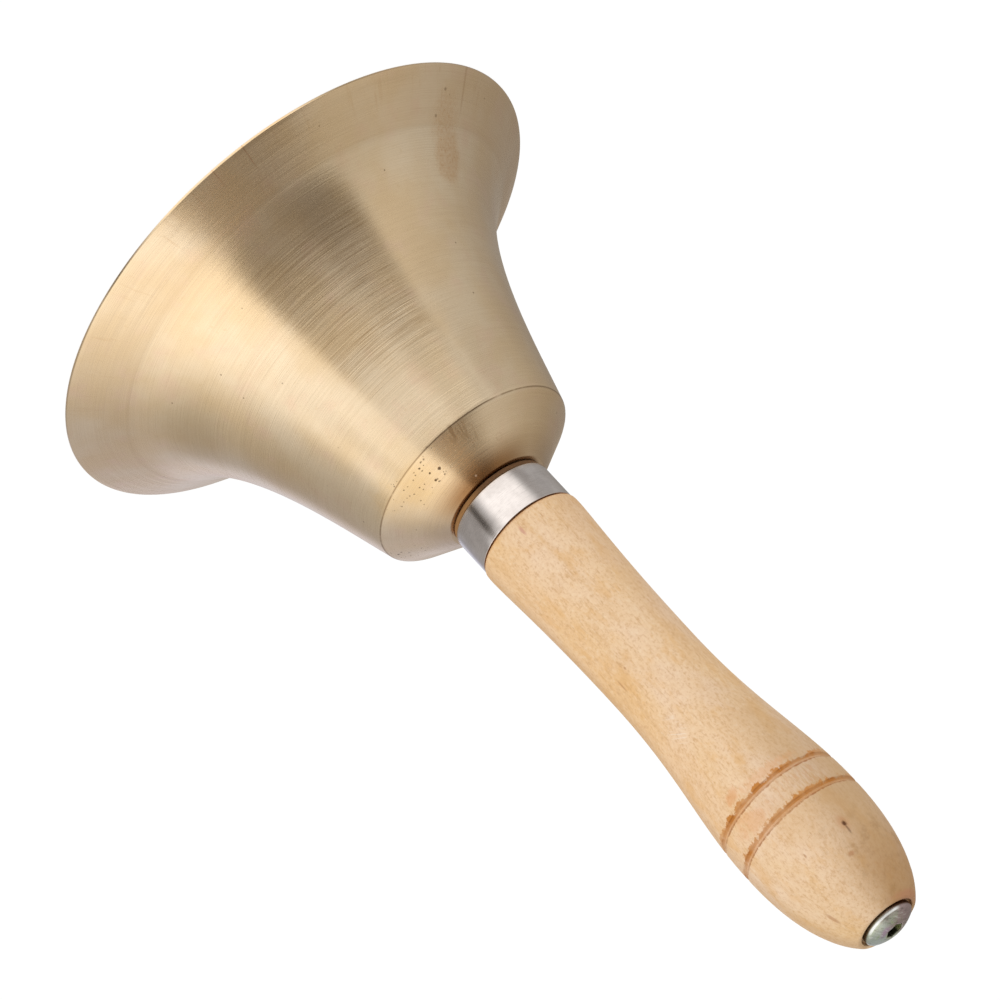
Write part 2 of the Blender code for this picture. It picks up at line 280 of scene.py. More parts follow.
def sweep(name, path, radius, sides, materials, closed=False):
    """A round bar along a path in one plane.  radius(along, angle) gives its surface."""
    points = [Vector(p) for p in path]
    count = len(points)
    plane = None
    for i in range(1, count - 1):
        bend = (points[i] - points[i - 1]).cross(points[i + 1] - points[i])
        if bend.length > 1e-12:
            plane = bend.normalized()
            break
    verts = []
    along = 0.0
    for i, point in enumerate(points):
        before = points[i - 1] if i or closed else point
        after = points[(i + 1) % count] if i < count - 1 or closed else point
        forward = (after - before).normalized()
        side = plane.cross(forward)
        if i:
            along += (point - points[i - 1]).length
        for k in range(sides):
            a = 2 * math.pi * k / sides
            r = radius(along, a)
            verts.append(point + (side * math.cos(a) + plane * math.sin(a)) * r)
    faces = []
    for i in range(count if closed else count - 1):
        here = i * sides
        there = (i + 1) % count * sides
        for k in range(sides):
            after = (k + 1) % sides
            faces.append([here + k, here + after, there + after, there + k])
    if not closed:
        faces.append(list(range(sides)))
        faces.append([(count - 1) * sides + k for k in range(sides)])
    return add_piece(name, verts, faces, materials)


# shader helpers

def plug(socket, value):
    """Connect a field, a socket or a plain value to an input."""
    if isinstance(value, Field):
        value = value.socket
    if isinstance(value, bpy.types.NodeSocket):
        socket.id_data.links.new(value, socket)
    elif isinstance(value, (tuple, list)) and len(value) == 3 and socket.type == "RGBA":
        socket.default_value = (*value, 1.0)
    else:
        socket.default_value = value


class Field:
    """A shader value that takes ordinary arithmetic."""

    def __init__(self, socket):
        self.socket = socket

    @property
    def tree(self):
        return self.socket.id_data

    def math(self, operation, *others):
        node = self.tree.nodes.new("ShaderNodeMath")
        node.operation = operation
        for socket, value in zip(node.inputs, (self, *others)):
            plug(socket, value)
        return Field(node.outputs[0])

    def __add__(self, other):
        return self.math("ADD", other)

    __radd__ = __add__

    def __sub__(self, other):
        return self.math("SUBTRACT", other)

    def __rsub__(self, other):
        return (self * -1.0) + other

    def __mul__(self, other):
        return self.math("MULTIPLY", other)

    __rmul__ = __mul__

    def __truediv__(self, other):
        return self.math("DIVIDE", other)

    def __abs__(self):
        return self.math("ABSOLUTE")

    def most(self, other):
        return self.math("MAXIMUM", other)

    def step(self, start, end):
        """0 at start, 1 at end, smooth between."""
        node = self.tree.nodes.new("ShaderNodeMapRange")
        node.interpolation_type = "SMOOTHSTEP"
        plug(node.inputs["Value"], self)
        plug(node.inputs["From Min"], start)
        plug(node.inputs["From Max"], end)
        return Field(node.outputs["Result"])

    def band(self, start, end, soft):
        """1 between start and end, 0 outside, with soft edges."""
        return self.step(start - soft, start + soft) * self.step(end + soft, end - soft)

    def ramp(self, *stops):
        """Piecewise straight function through (position, value) stops."""
        first = stops[0][0]
        span = stops[-1][0] - first
        node = self.tree.nodes.new("ShaderNodeValToRGB")
        elements = node.color_ramp.elements
        while len(elements) < len(stops):
            elements.new(0.5)
        peak = max(value for place, value in stops)
        for element, (place, value) in zip(elements, stops):
            element.position = (place - first) / span
            element.color = (value / peak,) * 3 + (1.0,)
        plug(node.inputs["Fac"], (self - first) / span)
        return Field(node.outputs["Color"]) * peak


def rgb(red, green, blue):
    """Linear colour from the usual 0..255 values."""
    def linear(c):
        c /= 255
        return c / 12.92 if c <= 0.04045 else ((c + 0.055) / 1.055) ** 2.4
    return (linear(red), linear(green), linear(blue))


def shared_tree(*values):
    return next(v for v in values if isinstance(v, Field)).tree


def mix(amount, first, second, blend="MIX"):
    node = shared_tree(amount, first, second).nodes.new("ShaderNodeMix")
    node.data_type = "RGBA"
    node.blend_type = blend
    plug(node.inputs[0], amount)
    plug(node.inputs[6], first)
    plug(node.inputs[7], second)
    return Field(node.outputs[2])


def vector(x, y, z):
    node = shared_tree(x, y, z).nodes.new("ShaderNodeCombineXYZ")
    for socket, value in zip(node.inputs, (x, y, z)):
        plug(socket, value)
    return Field(node.outputs[0])


def noise_field(place, detail=2.0, rough=0.5, distortion=0.0):
    node = place.tree.nodes.new("ShaderNodeTexNoise")
    plug(node.inputs["Vector"], place)
    node.inputs["Scale"].default_value = 1.0
    node.inputs["Detail"].default_value = detail
    node.inputs["Roughness"].default_value = rough
    node.inputs["Distortion"].default_value = distortion
    return Field(node.outputs["Fac"])


def cells(place):
    """Distance to the nearest scattered point, and a random number for that point."""
    node = place.tree.nodes.new("ShaderNodeTexVoronoi")
    plug(node.inputs["Vector"], place)
    node.inputs["Scale"].default_value = 1.0
    split = place.tree.nodes.new("ShaderNodeSeparateColor")
    place.tree.links.new(node.outputs["Color"], split.inputs[0])
    return Field(node.outputs["Distance"]), Field(split.outputs[0])


def coordinates(tree, output):
    """Three fields from an output of the Texture Coordinate node."""
    source = tree.nodes.new("ShaderNodeTexCoord")
    split = tree.nodes.new("ShaderNodeSeparateXYZ")
    tree.links.new(source.outputs[output], split.inputs[0])
    return [Field(socket) for socket in split.outputs]


class Surface:
    """Millimetre coordinates of a turned piece, and its Principled shader."""

    def __init__(self, name, metallic, roughness):
        self.material = bpy.data.materials.new(name)
        self.material.use_nodes = True
        self.tree = self.material.node_tree
        self.shader = self.tree.nodes["Principled BSDF"]
        self.shader.inputs["Metallic"].default_value = metallic
        self.shader.inputs["Roughness"].default_value = roughness
        self.x, self.y, self.z = (place * (1 / MM) for place in coordinates(self.tree, "Object"))
        self.radius = (self.x * self.x + self.y * self.y).math("SQRT").most(0.01)
        self.ux = self.x / self.radius
        self.uy = self.y / self.radius
        self.angle = self.x.math("ARCTAN2", self.y * -1.0) * math.degrees(1)

    def set(self, name, value):
        plug(self.shader.inputs[name], value)

    def place(self, size, stretch=1.0, shift=0.0):
        """Solid noise coordinates with a feature size in mm, longer by stretch along Z."""
        return vector(self.x / size + shift, self.y / size, self.z / (size * stretch))

    def around(self, turns, along, shift=0.0):
        """Noise coordinates drawn out around the axis; along is any field that runs up the skin."""
        return vector(self.ux * turns + shift, self.uy * turns, along)

    def spot(self, angle, height, half_angle, half_height, soft=0.3, ragged=None):
        """An oval patch centred at an angle (degrees) and a height (mm)."""
        across = (self.angle - angle) / half_angle
        up = (self.z - height) / half_height
        distance = (across * across + up * up).math("SQRT")
        if ragged is not None:
            distance = distance + ragged
        return distance.step(1.0 + soft, 1.0 - soft)

    def facing(self, angle):
        """Cosine of the turn from an angle in degrees, the same on both sides of it."""
        turn = math.radians(angle)
        return self.ux * math.sin(turn) - self.uy * math.cos(turn)

    def bump(self, height, distance):
        """Bump normal from a height field; distance is what a height of 1 measures, in mm."""
        node = self.tree.nodes.new("ShaderNodeBump")
        node.inputs["Distance"].default_value = distance * MM
        plug(node.inputs["Height"], height)
        return Field(node.outputs["Normal"])

    def turned(self, amount, rotation=0.0):
        """Highlights drawn out across the tool marks of a piece turned about Z."""
        tangent = self.tree.nodes.new("ShaderNodeTangent")
        tangent.direction_type = "RADIAL"
        tangent.axis = "Z"
        self.set("Tangent", Field(tangent.outputs[0]))
        self.set("Anisotropic", amount)
        self.set("Anisotropic Rotation", rotation)


# finishes

def brass_tone(s, marks, clouds):
    """Brass patched with olive and rose; its lathe lines are plainest at the front of the waist, where
    they are painted darker across the dark reflection: real tool marks with painted shade.
    """
    patina = noise_field(s.place(8.0, 1.0, 5.0), 4.0, 0.6)
    powder = noise_field(s.place(1.1, 1.0, 11.0), 3.0, 0.6)
    pale = rgb(248, 224, 189)
    olive = rgb(241, 211, 168)
    rose = rgb(245, 211, 179)
    base = mix(clouds.step(0.35, 0.68), pale, olive)
    base = mix(patina.step(0.5, 0.75) * 0.6, base, rose)
    base = mix(powder.step(0.58, 0.8) * 0.3, base, rgb(222, 188, 142))
    long_marks, short_marks = marks
    # lathe lines painted darker across the band where the dark reflection falls on the waist: real tool
    # marks, with painted shade
    dark_reflection_band = s.angle.band(-29.0, 12.0, 3.0) * s.z.step(58.0, 40.0) * s.z.step(10.0, 20.0)
    lines = long_marks.step(0.4, 0.68) * 0.5 + short_marks.step(0.45, 0.7) * 0.5
    return mix(lines * (dark_reflection_band * 0.6 + 0.14), base, rgb(178, 144, 100))


def brass_stains(s, base, ragged, speckle):
    """A drop-shaped stain on the flare and warm patches on the crown.  Also returns the stain's mask."""
    drop = s.spot(-66.8, 13.2, 5.4, 4.6, 0.3, ragged * 0.5)
    point = s.spot(-65.2, 8.2, 4.2, 3.6, 0.7, ragged * 0.9)
    stain = drop.most(point * 0.8) * (0.55 + speckle.step(0.35, 0.65) * 0.45)
    base = mix(stain * 0.46, base, rgb(214, 160, 98))
    base = mix(stain * speckle.step(0.56, 0.72) * 0.35, base, rgb(186, 128, 76))
    warm = s.spot(30.0, 69.0, 12.0, 2.6, 0.8, ragged * 1.6)
    warm = warm.most(s.spot(44.0, 66.0, 9.0, 3.0, 0.9, ragged * 1.8) * 0.8)
    base = mix(warm * (speckle * 0.8 + 0.3) * 0.42, base, rgb(238, 192, 116))
    return base, stain


def brass_smudges(s, base):
    """Dragged smudges and a faint ring mark on the crown.  Also returns their mask."""
    drag = noise_field(vector(s.angle * 0.55, s.z * 0.5, 2.0), 2.0, 0.6)
    smudge = s.spot(-8.5, 67.9, 5.5, 1.3, 0.8) * drag.step(0.42, 0.6)
    smudge = smudge.most(s.spot(-14.0, 69.4, 4.0, 1.6, 0.7) * drag.step(0.46, 0.62) * 0.7)
    across = (s.angle + 31.8) * 0.36
    up = s.z - 72.0
    ring_mark = (across * across + up * up * 3.2).math("SQRT")
    smudge = smudge.most(ring_mark.band(0.75, 0.95, 0.2) * 0.35)
    return mix(smudge * 0.5, base, rgb(140, 100, 56)), smudge


def brass_pits(s, base):
    """Casting pits on the crown and rare specks elsewhere.  Also returns the pits' mask."""
    dots, chance = cells(s.place(1.0, 1.0, 2.0))
    dots = dots + (noise_field(s.place(0.35, 1.0, 23.0), 2.0, 0.6) - 0.5) * 0.42
    crown = s.z.step(66.6, 67.4) * s.z.step(74.5, 72.5)
    pitted = s.spot(17.0, 69.6, 6.5, 2.2, 0.3).most(s.spot(96.0, 69.4, 11.0, 2.6, 0.3))
    peppered = s.spot(24.0, 69.0, 24.0, 3.6, 0.5) * 0.7
    pits = dots.step(0.27, 0.17) * chance.step(0.5, 0.56) * crown * pitted
    pits = pits.most(dots.step(0.2, 0.12) * chance.step(0.42, 0.46) * peppered)
    pits = pits.most(s.spot(12.2, 70.2, 0.8, 0.2, 0.5)).most(s.spot(19.9, 70.9, 0.7, 0.16, 0.5))
    rare, rare_chance = cells(s.place(4.5, 1.0, 9.0))
    specks = rare.step(0.06, 0.04) * rare_chance.step(0.6, 0.64)
    specks = specks.most(s.spot(-61.4, 7.3, 0.4, 0.22, 0.5)).most(s.spot(-64.2, 3.8, 0.4, 0.22, 0.5))
    return mix(pits.most(specks * 0.6) * 0.88, base, rgb(86, 58, 32)), pits


def brass_scratches(s, base):
    """Reddish scratches, fine marks and one hairline near the lip."""
    scratch = noise_field(vector(s.angle * 1.6, s.radius * 0.05, 0.0), 3.0, 0.7)
    scratched = scratch.step(0.58, 0.68) * s.angle.band(-11.0, -2.5, 0.8) * s.z.step(9.0, 7.0)
    base = mix(scratched * 0.5, base, rgb(184, 116, 78))
    edge_marks = noise_field(vector(s.angle * 0.9, s.radius * 0.06, 4.0), 3.0, 0.7)
    edge_marks = edge_marks.step(0.56, 0.7) * s.z.step(8.0, 3.0) * s.angle.band(-165.0, 165.0, 8.0)
    base = mix(edge_marks * 0.22, base, rgb(196, 146, 96))
    hairline = s.angle.band(-71.4, -70.8, 0.25) * s.z.step(7.5, 5.0)
    return mix(hairline * 0.35, base, rgb(170, 128, 86))


def brass_tarnish_and_shade(s, base, ragged):
    """Dull tones at the shoulder and the lip, tan tones on the back of the crown and the flare that are
    partly painted shade, painted shade at the foot of the ferrule, and duller patches that are partly
    painted shade.
    """
    shoulder = s.z.band(66.75, 67.0, 0.12) * noise_field(s.around(9.0, 0.0), 2.0, 0.6).step(0.1, 0.5)
    base = mix(shoulder * 0.7, base, rgb(120, 84, 46))
    # tan on the back of the crown and the flare: partly the brass's tone, partly painted shade
    back = s.facing(-110.0).step(-0.64, 0.0)
    crown_tan_and_shade = s.z.step(66.9, 67.6) * back
    base = mix(crown_tan_and_shade * 0.22, base, rgb(228, 186, 130))
    flare_tan_and_shade = s.z.step(8.6, 8.0) * back
    base = mix(flare_tan_and_shade * 0.16, base, rgb(226, 180, 124))
    # painted shade: brass darkened below the foot of the ferrule, most on the side facing -4 degrees
    foot = s.z.step(71.0, 75.5) * (0.3 + s.facing(-4.0).step(0.45, 0.95) * 0.6)
    base = mix(foot, base, rgb(150, 104, 58))
    lip = s.z.step(8.7, 8.2) * 0.12 + s.z.band(8.2, 8.8, 0.35) * 0.14
    base = mix(lip, base, rgb(206, 172, 126))
    # darker, duller patches on the brass: partly tarnish, partly painted shade where the reflection is
    # dimmer
    dull_and_shade = s.spot(66.0, 19.5, 17.0, 5.5, 0.8, ragged * 0.3) * 0.42
    dull_and_shade = dull_and_shade.most(s.spot(-31.0, 9.0, 10.0, 10.0, 0.8) * 0.3)
    dull_and_shade = dull_and_shade.most(s.spot(-20.0, 55.0, 8.0, 10.0, 0.8) * 0.26)
    dull_and_shade = dull_and_shade.most(s.spot(28.0, 69.4, 10.0, 3.0, 0.7) * 0.2)
    return mix(dull_and_shade, base, rgb(196, 164, 112))


def brass_skin():
    s = Surface("bell_brass", 1.0, 0.3)
    up = s.z - s.radius
    long_marks = noise_field(s.around(1.4, up * 3.4), 1.0, 0.5)
    short_marks = noise_field(s.around(5.0, up * 5.5, 7.0), 1.0, 0.5)
    broad_marks = noise_field(s.around(0.9, up * 0.45, 3.0), 2.0, 0.5)
    clouds = noise_field(s.place(18.0, 1.2), 3.0, 0.5)
    ragged = (noise_field(s.place(2.5), 3.0, 0.6) - 0.5) * 0.9
    speckle = noise_field(s.place(0.8, 1.0, 17.0), 3.0, 0.7)

    base = brass_tone(s, (long_marks, short_marks), clouds)
    base, stain = brass_stains(s, base, ragged, speckle)
    base, smudge = brass_smudges(s, base)
    base, pits = brass_pits(s, base)
    # painted highlight: a small near-white, mostly non-metallic glint on the crown just below the ferrule
    glint_spot = s.spot(-0.8, 74.7, 1.0, 0.16, 0.4)
    base = mix(glint_spot, base, rgb(255, 250, 240))
    base = brass_scratches(s, base)
    base = brass_tarnish_and_shade(s, base, ragged)
    s.set("Base Color", base)
    s.set("Metallic", 1.0 - glint_spot * 0.9)

    rough = 0.26 + (long_marks - 0.5) * 0.08 + (clouds - 0.5) * 0.06 + stain * 0.06 + smudge * 0.1
    s.set("Roughness", rough)
    s.turned(0.8, 0.25)
    marks = long_marks * 0.35 + short_marks * 0.25 + broad_marks * 0.6
    marks = marks * (1.0 - s.z.step(25.0, 55.0) * 0.6) - pits
    rings = noise_field(s.around(0.8, up * 1.5, 4.0), 2.0, 0.6) * s.z.step(68.0, 73.0)
    s.set("Normal", s.bump(marks + rings * 0.6, 0.09))
    return s.material


def brass_inside():
    s = Surface("bell_brass_inside", 1.0, 0.46)
    up = s.z - s.radius
    tool = noise_field(s.around(1.2, up * 1.3), 3.0, 0.6)
    groove = noise_field(s.around(0.8, up * 3.2, 5.0), 1.0, 0.5)
    clouds = noise_field(s.place(20.0), 3.0, 0.5)
    base = mix(clouds.step(0.25, 0.78) * 0.5, rgb(226, 192, 140), rgb(188, 148, 96))
    base = mix(tool.step(0.45, 0.75) * 0.3, base, rgb(158, 120, 74))
    base = mix(groove.step(0.5, 0.72) * 0.3, base, rgb(150, 112, 66))
    s.set("Base Color", base)
    s.set("Roughness", 0.4 + clouds * 0.2)
    s.turned(0.6)
    s.set("Normal", s.bump(tool + groove * 0.7, 0.06))
    return s.material


def wood_figure(s, mottle, grit, fine, rings):
    """Pale wood with mottling, growth rings, grit and amber patches, with a painted highlight on the side
    facing -8 degrees and a stretch of partly painted shade.
    """
    cloud = noise_field(s.place(15.0, 1.6), 3.0, 0.55)
    base = mix(cloud.step(0.36, 0.62), rgb(243, 213, 182), rgb(239, 203, 158))
    # yellower, darker stretch on the side facing 100 degrees, below 190 mm: partly wood tone, partly
    # painted shade
    honey_and_shade = s.facing(100.0).step(-0.05, 0.6) * s.z.step(190.0, 176.0)
    base = mix(honey_and_shade * 0.4, base, rgb(236, 190, 132))
    base = mix(s.z.step(122.0, 92.0) * 0.3, base, rgb(240, 198, 140))
    crest = s.z.step(188.0, 204.0) * s.facing(10.0).step(0.3, 0.9)
    base = mix(crest * 0.4, base, rgb(232, 190, 128))
    # painted highlight: a lighter, pinker band down the side facing -8 degrees
    base = mix(s.facing(-8.0).step(0.75, 0.98) * 0.2, base, rgb(244, 216, 190))
    base = mix(mottle.step(0.48, 0.72) * 0.4, base, rgb(220, 176, 124))
    base = mix(rings.step(0.52, 0.74) * 0.4, base, rgb(222, 178, 124))
    base = mix(grit.step(0.5, 0.66) * 0.46, base, rgb(206, 158, 110))
    base = mix(grit.step(0.48, 0.3) * 0.4, base, rgb(248, 226, 198))
    amber = noise_field(s.place(6.0, 2.2, 21.0), 4.0, 0.65)
    base = mix(amber.step(0.5, 0.66) * 0.42, base, rgb(228, 176, 106))
    return mix(fine.step(0.52, 0.72) * 0.42, base, rgb(202, 152, 98))


def wood_tones_and_shade(s, base):
    """Painted shade on the back of the belly, along the side facing 90 degrees and at the waist; browner
    wood at the butt that is partly painted shade; smokier mottling near the butt.
    """
    back = s.facing(-110.0)
    # painted shade on the back of the belly
    shady = s.z.step(128.0, 188.0) * back.step(-0.56, 0.41)
    base = mix(shady * 0.66, base, rgb(184, 147, 106))
    # browner at the butt on the back: partly wood tone, partly painted shade
    butt = s.z.step(192.0, 208.0) * back.step(-0.77, 0.45)
    base = mix(butt * 0.46, base, rgb(174, 124, 62))
    # painted shade along the side facing 90 degrees
    base = mix(s.facing(90.0).step(0.84, 1.0) * 0.4, base, rgb(190, 150, 104))
    smoky = noise_field(s.place(3.2, 1.0, 14.0), 4.0, 0.7).step(0.48, 0.68)
    smoky = smoky * back.step(-0.5, -0.09) * s.z.step(186.0, 198.0)
    base = mix(smoky * 0.28, base, rgb(154, 112, 62))
    waist_shade = back.step(0.09, 0.64) * s.z.step(150.0, 130.0)
    return mix(waist_shade * 0.3, base, rgb(206, 164, 122))


def groove_stains(s, base, mottle):
    """Orange-brown stain with torn edges along the two grooves, and frayed fibres between them."""
    edge = noise_field(s.around(4.0, s.z * 0.2), 4.0, 0.7)
    patch = noise_field(s.around(2.2, s.z * 0.12, 9.0), 3.0, 0.65)
    fuzz = noise_field(s.around(22.0, s.z * 0.5, 5.0), 3.0, 0.6)
    stains = []
    scorches = []
    for center in GROOVE_HEIGHTS:
        off = s.z - center
        reach = 0.35 + edge.step(0.36, 0.66) * 1.5 + (fuzz - 0.5) * 1.0
        torn_side = (off + reach).step(-0.2, 0.2) * off.step(0.15, -0.15)
        floor_tint = off.band(-0.4, 0.6, 0.2) * 0.5
        stains.append(torn_side.most(floor_tint) * (0.6 + patch.step(0.36, 0.62) * 0.4))
        lower_edge = 0.95 + (fuzz - 0.5) * 0.7
        line = off.step(0.5, 0.66) * (off - lower_edge).step(0.16, -0.12)
        line = line * (0.55 + fuzz.step(0.35, 0.6) * 0.45)
        scorches.append(line.most(off.band(-0.8, -0.5, 0.14) * patch.step(0.44, 0.6) * 0.8))
    strong = s.angle.band(-62.0, 62.0, 16.0)
    blot = s.spot(25.0, 172.3, 6.5, 1.4, 0.5, (mottle - 0.5) * 4.0)
    blot = blot.most(s.spot(-8.0, 173.4, 22.0, 1.2, 0.6, (fuzz - 0.5) * 4.0) * 0.55)
    blot = blot.most(s.spot(22.0, 179.8, 14.0, 2.2, 0.6, (mottle - 0.5) * 5.0) * 0.7)
    frayed = s.z.band(177.2, 182.2, 1.0) * s.angle.band(-50.0, 16.0, 14.0)
    strands = noise_field(vector(s.angle * 0.5, s.z * 0.4, 8.0), 4.0, 0.7)
    base = mix(frayed * strands.step(0.46, 0.6) * 0.22, base, rgb(240, 220, 204))
    base = mix(frayed * strands.step(0.48, 0.36) * 0.34, base, rgb(208, 150, 122))
    base = mix(blot * 0.5, base, rgb(222, 150, 88))
    base = mix(stains[0].most(stains[1]) * (0.42 + strong * 0.5), base, rgb(192, 118, 26))
    base = mix(scorches[0].most(scorches[1]) * (0.34 + strong * 0.4), base, rgb(158, 88, 16))
    # painted shade: a broad darker patch over the upper groove, on the side facing 2 degrees
    return mix(s.spot(2.0, 185.0, 16.0, 7.0, 0.9) * 0.3, base, rgb(212, 168, 118))


def wood_marks(s, base, grit):
    """The knot, dents, scuffs and torn fibres of one well-used handle."""
    ragged = grit - 0.5
    knot = s.spot(-30.3, 193.9, 1.7, 0.62, 0.5, ragged * 1.4)
    tail = s.spot(-30.0, 195.2, 0.9, 1.3, 0.6, ragged * 1.4)
    halo = s.spot(-29.8, 193.6, 4.2, 1.6, 0.8, ragged * 2.0)
    base = mix(halo * 0.4, base, rgb(188, 118, 58))
    base = mix(knot.most(tail * 0.6) * 0.92, base, rgb(84, 44, 14))
    dent = s.spot(43.0, 206.5, 2.0, 1.5, 0.5, ragged * 1.2)
    dent = dent.most(s.spot(39.6, 133.6, 1.0, 1.6, 0.6, ragged * 1.2))
    dent = dent.most(s.spot(-18.3, 200.1, 3.0, 0.5, 0.6)).most(s.spot(22.0, 131.7, 1.1, 0.4, 0.5))
    dent = dent.most(s.spot(12.2, 194.0, 0.8, 0.5, 0.5))
    base = mix(dent * 0.5, base, rgb(172, 108, 58))
    red = s.spot(2.0, 91.5, 1.5, 1.2, 0.6, ragged * 2.0)
    base = mix(red * 0.5, base, rgb(190, 110, 106))
    slant = noise_field(vector((s.angle * 0.2 + s.z) * 1.6, (s.z - s.angle * 0.2) * 0.15, 0.0), 2.0, 0.5)
    scuff = s.spot(25.0, 151.0, 9.0, 3.6, 0.5, ragged * 1.5) * slant.step(0.52, 0.66)
    base = mix(scuff * 0.45, base, rgb(250, 236, 222))
    torn = s.spot(-70.0, 211.9, 34.0, 0.8, 0.6, ragged * 2.0)
    base = mix(torn * 0.45, base, rgb(190, 122, 92))
    return mix(s.z.step(88.5, 87.7) * 0.6, base, rgb(190, 120, 58))


def hardwood():
    s = Surface("handle_wood", 0.0, 0.5)
    mottle = noise_field(s.place(4.0, 1.6, 3.0), 4.0, 0.65)
    grit = noise_field(s.place(0.7, 1.4, 6.0), 4.0, 0.75)
    fine = noise_field(s.place(0.5, 5.0, 6.0), 3.0, 0.65)
    rings = noise_field(s.place(2.2, 9.0, 8.0), 3.0, 0.55, 0.4)
    pore, chance = cells(vector(s.x / 0.8, s.y / 0.8, s.z / 3.6))
    pores = pore.step(0.22, 0.1) * chance.step(0.62, 0.8) * mottle.step(0.5, 0.62)

    base = wood_tones_and_shade(s, wood_figure(s, mottle, grit, fine, rings))
    base = mix(pores * 0.4, base, rgb(184, 128, 74))
    base = groove_stains(s, base, mottle)
    base = wood_marks(s, base, grit)
    s.set("Base Color", base)
    s.set("Roughness", 0.5 + grit * 0.14)
    s.set("Specular IOR Level", 0.3)
    grain = fine * 0.5 + grit * 0.5 + rings * 0.5 - pores * 0.5
    s.set("Normal", s.bump(grain, 0.07))
    return s.material


def polished():
    s = Surface("ferrule_steel", 1.0, 0.2)
    hair = noise_field(s.around(4.0, s.z * 7.0), 3.0, 0.6)
    haze = noise_field(s.place(5.0), 3.0, 0.6)
    base = mix(haze.step(0.35, 0.7), rgb(229, 220, 214), rgb(212, 203, 197))
    base = mix(hair.step(0.5, 0.75) * 0.4, base, rgb(176, 168, 160))
    s.set("Base Color", base)
    s.set("Roughness", 0.12 + haze * 0.08)
    s.turned(0.4)
    s.set("Normal", s.bump(hair, 0.006))
    return s.material


def zinc(name, green=0.5, rough=0.3):
    s = Surface(name, 1.0, rough)
    haze = noise_field(s.place(3.0), 3.0, 0.6)
    grainy = noise_field(s.place(0.35), 2.0, 0.5)
    tint = mix(haze.step(0.35, 0.65), rgb(200, 206, 186), rgb(206, 190, 188))
    base = mix(green, rgb(198, 196, 190), tint)
    base = mix(grainy.step(0.55, 0.8) * 0.4, base, rgb(128, 124, 112))
    s.set("Base Color", base)
    s.set("Roughness", rough - 0.05 + haze * 0.14)
    s.set("Normal", s.bump(grainy, 0.006))
    return s.material


def nut_plating():
    """Zinc plate whose green and pink cast changes across the head, with painted shade in the socket and
    on the side wall and a painted highlight on the rim.
    """
    s = Surface("nut_plating", 1.0, 0.26)
    haze = noise_field(s.place(3.0), 3.0, 0.6)
    grainy = noise_field(s.place(0.5), 3.0, 0.6)
    scrape = noise_field(vector((s.x + s.y * 0.6) * 1.4, (s.y - s.x * 0.6) * 0.3, s.z), 3.0, 0.65)
    across = s.x * -0.11 + s.y * 0.02 + (haze - 0.5) * 1.6
    base = mix(across.step(-0.45, 0.4), rgb(192, 198, 174), rgb(190, 166, 162))
    green = noise_field(s.place(1.6, 1.0, 4.0), 3.0, 0.65).step(0.5, 0.66) * s.radius.step(5.6, 4.0)
    base = mix(green * 0.6, base, rgb(186, 206, 134))
    pink = s.spot(34.0, 214.5, 30.0, 1.0, 0.5, haze - 0.5) * s.radius.band(2.6, 3.8, 0.5)
    base = mix(pink * 0.55, base, rgb(190, 140, 172))
    base = mix(scrape.step(0.55, 0.68) * 0.5, base, rgb(104, 104, 90))
    base = mix(scrape.step(0.44, 0.34) * 0.6, base, rgb(236, 236, 222))
    base = mix(grainy.step(0.56, 0.75) * 0.35, base, rgb(110, 108, 92))
    # painted shade: the head's side wall browned near the wood
    side_wall_shade = s.radius.step(6.15, 6.3) * s.z.step(213.2, 212.6)
    base = mix(side_wall_shade * 0.8, base, rgb(84, 60, 36))
    # painted shade inside the socket, with painted light on the wall facing -105 degrees
    socket = s.radius.step(2.5, 2.2) * s.z.step(214.8, 214.4)
    lit_wall = s.facing(-105.0).step(0.4, 0.8) * s.z.step(211.6, 213.4)
    base = mix(socket * (1.0 - lit_wall * 0.85), base, rgb(46, 46, 30))
    base = mix(socket * lit_wall * 0.7, base, rgb(168, 184, 96))
    # painted highlight: a near-white, partly non-metallic arc on the rim of the head
    rim_highlight = s.radius.band(5.95, 6.3, 0.1) * s.angle.band(-40.0, 46.0, 10.0) * s.z.step(212.6, 212.9)
    base = mix(rim_highlight, base, rgb(255, 255, 250))
    s.set("Metallic", 1.0 - rim_highlight * 0.7)
    s.set("Base Color", base)
    s.set("Roughness", 0.2 + haze * 0.14 + socket * 0.3)
    s.set("Normal", s.bump(grainy + scrape * 0.5, 0.012))
    return s.material


def leather():
    s = Surface("gasket_leather", 0.0, 0.8)
    grain = noise_field(s.place(0.7), 4.0, 0.65)
    base = mix(grain, rgb(84, 56, 30), rgb(128, 90, 54))
    # painted reflection of the brass: warmer, lighter brown on the side facing 80 degrees
    base = mix(s.facing(80.0).step(0.15, 0.6) * 0.6, base, rgb(186, 136, 80))
    s.set("Base Color", base)
    s.set("Normal", s.bump(grain, 0.1))
    return s.material


def clapper_metal():
    s = Surface("clapper_metal", 1.0, 0.38)
    turning = noise_field(s.around(1.5, s.z * 3.0), 3.0, 0.6)
    haze = noise_field(s.place(4.0), 4.0, 0.6)
    base = mix(haze.step(0.3, 0.7), rgb(190, 186, 180), rgb(150, 144, 136))
    base = mix(turning.step(0.55, 0.75) * 0.4, base, rgb(108, 102, 94))
    s.set("Base Color", base)
    s.set("Roughness", 0.32 + haze * 0.18)
    s.turned(0.5)
    s.set("Normal", s.bump(turning, 0.02))
    return s.material


# pieces

def settle(piece, body, slot, *nodes):
    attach(piece, body)
    for node in nodes:
        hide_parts(node)


